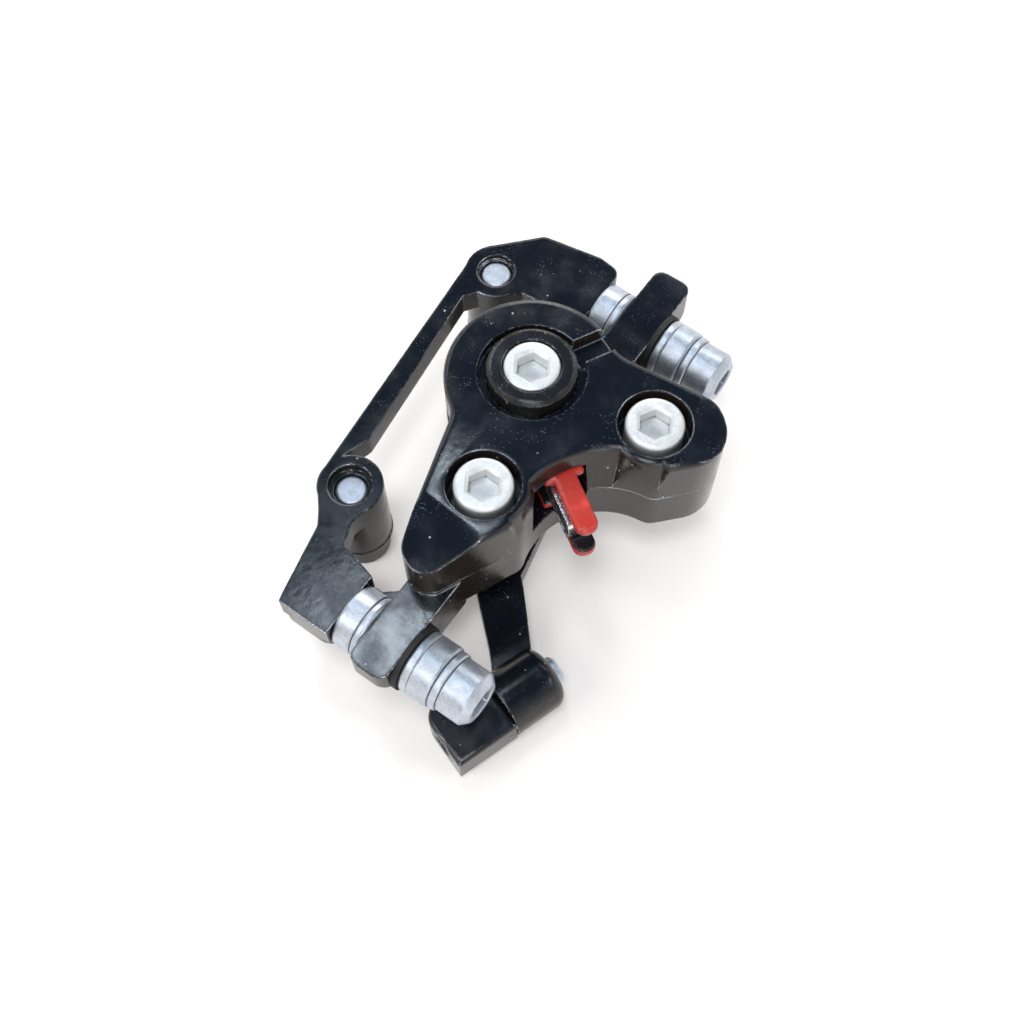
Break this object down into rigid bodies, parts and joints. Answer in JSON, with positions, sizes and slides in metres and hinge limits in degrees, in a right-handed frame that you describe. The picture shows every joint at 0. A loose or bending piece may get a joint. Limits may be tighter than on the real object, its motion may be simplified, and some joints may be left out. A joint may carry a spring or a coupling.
{
  "type": "bicycle disc brake caliper",
  "caption": "Cable-pulled disc brake caliper with split body, pads, ball ramp arm and pad adjuster, bolted through cupped washers to an adapter bracket.",
  "frame": {"origin": "piston axis where it crosses the middle plane of the rotor", "axes": "+Z along the piston axis towards the wheel and the fixed pad's adjuster, +X along the post bolts towards their heads, +Y from the lower to the upper post bolt"},
  "size_m": [0.0619, 0.0943, 0.0372],
  "materials": {
    "black_paint": "deep gloss black paint with fine chips",
    "zinc_steel": "satin bright zinc plating",
    "black_oxide": "satin black oxide steel",
    "red_paint": "glossy red paint, worn",
    "spring_steel": "bright spring steel",
    "lining": "matt sintered friction lining with metal flecks",
    "race_steel": "ground bearing steel",
    "cage": "natural nylon",
    "seal_rubber": "matt black rubber"
  },
  "bodies": {
    "bracket": {"adapter_bracket": "black_paint", "is_bolts": "zinc_steel", "is_washers": "zinc_steel", "post_bolts": "zinc_steel", "head_convex_washers": "zinc_steel", "head_concave_washers": "zinc_steel", "adapter_convex_washers": "zinc_steel", "adapter_concave_washers": "zinc_steel", "ear_rings": "seal_rubber", "flat_washers": "zinc_steel"},
    "body": {"outer_body_half": "black_paint", "inner_body_half": "black_paint", "body_bolts": "zinc_steel", "pad_spring": "spring_steel", "fixed_race": "race_steel", "shaft_seal": "seal_rubber", "return_spring": "spring_steel", "barrel_locknut": "black_oxide"},
    "outer_pad": {"outer_pad_backing": "black_oxide", "outer_pad_lining": "lining", "pressure_foot": "race_steel"},
    "arm": {"brake_arm": "black_paint", "drive_spindle": "race_steel", "arm_washer": "zinc_steel", "arm_screw": "zinc_steel", "cable_clamp_block": "black_paint", "cable_clamp_bolt": "zinc_steel"},
    "balls": {"ramp_balls": "race_steel", "ball_cage": "cage"},
    "inner_pad": {"inner_pad_backing": "red_paint", "inner_pad_lining": "lining"},
    "adjuster": {"adjuster_disc": "black_oxide", "adjuster_screw": "zinc_steel", "adjuster_ring": "seal_rubber"},
    "barrel": {"barrel_adjuster": "black_oxide"}
  },
  "joints": [
    {"name": "body_align", "type": "slide", "parent": "bracket", "child": "body", "axis": [0, 0, 1], "range_m": [-0.0007, 0.0007]},
    {"name": "outer_pad_slide", "type": "slide", "parent": "body", "child": "outer_pad", "axis": [0, 0, 1], "range_m": [0, 0.00045], "deforming": ["return_spring"]},
    {"name": "arm_swing", "type": "hinge", "parent": "outer_pad", "child": "arm", "pos_m": [0, 0, -0.0222], "axis": [0, 0, -1], "range_deg": [0, 16], "stiffness_Nm_per_rad": 0.8, "springref_deg": -11.46},
    {"name": "cage_turn", "type": "hinge", "parent": "body", "child": "balls", "pos_m": [0, 0, -0.0103], "axis": [0, 0, -1], "range_deg": [0, 8]},
    {"name": "inner_pad_slide", "type": "slide", "parent": "body", "child": "inner_pad", "axis": [0, 0, -1], "range_m": [0, 0.0008]},
    {"name": "adjuster_turn", "type": "hinge", "parent": "inner_pad", "child": "adjuster", "pos_m": [0, 0, 0.008], "axis": [0, 0, -1], "range_deg": [0, 360]},
    {"name": "barrel_turn", "type": "hinge", "parent": "body", "child": "barrel", "pos_m": [-0.0045, -0.0439, -0.0206], "axis": [1, 0, 0], "range_deg": [0, 720]}
  ],
  "couplings": [
    {"joint": "arm_swing", "follows": "outer_pad_slide", "rad_per_m": 620.56},
    {"joint": "cage_turn", "follows": "outer_pad_slide", "rad_per_m": 310.28},
    {"joint": "adjuster_turn", "follows": "inner_pad_slide", "rad_per_m": 7854}
  ]
}
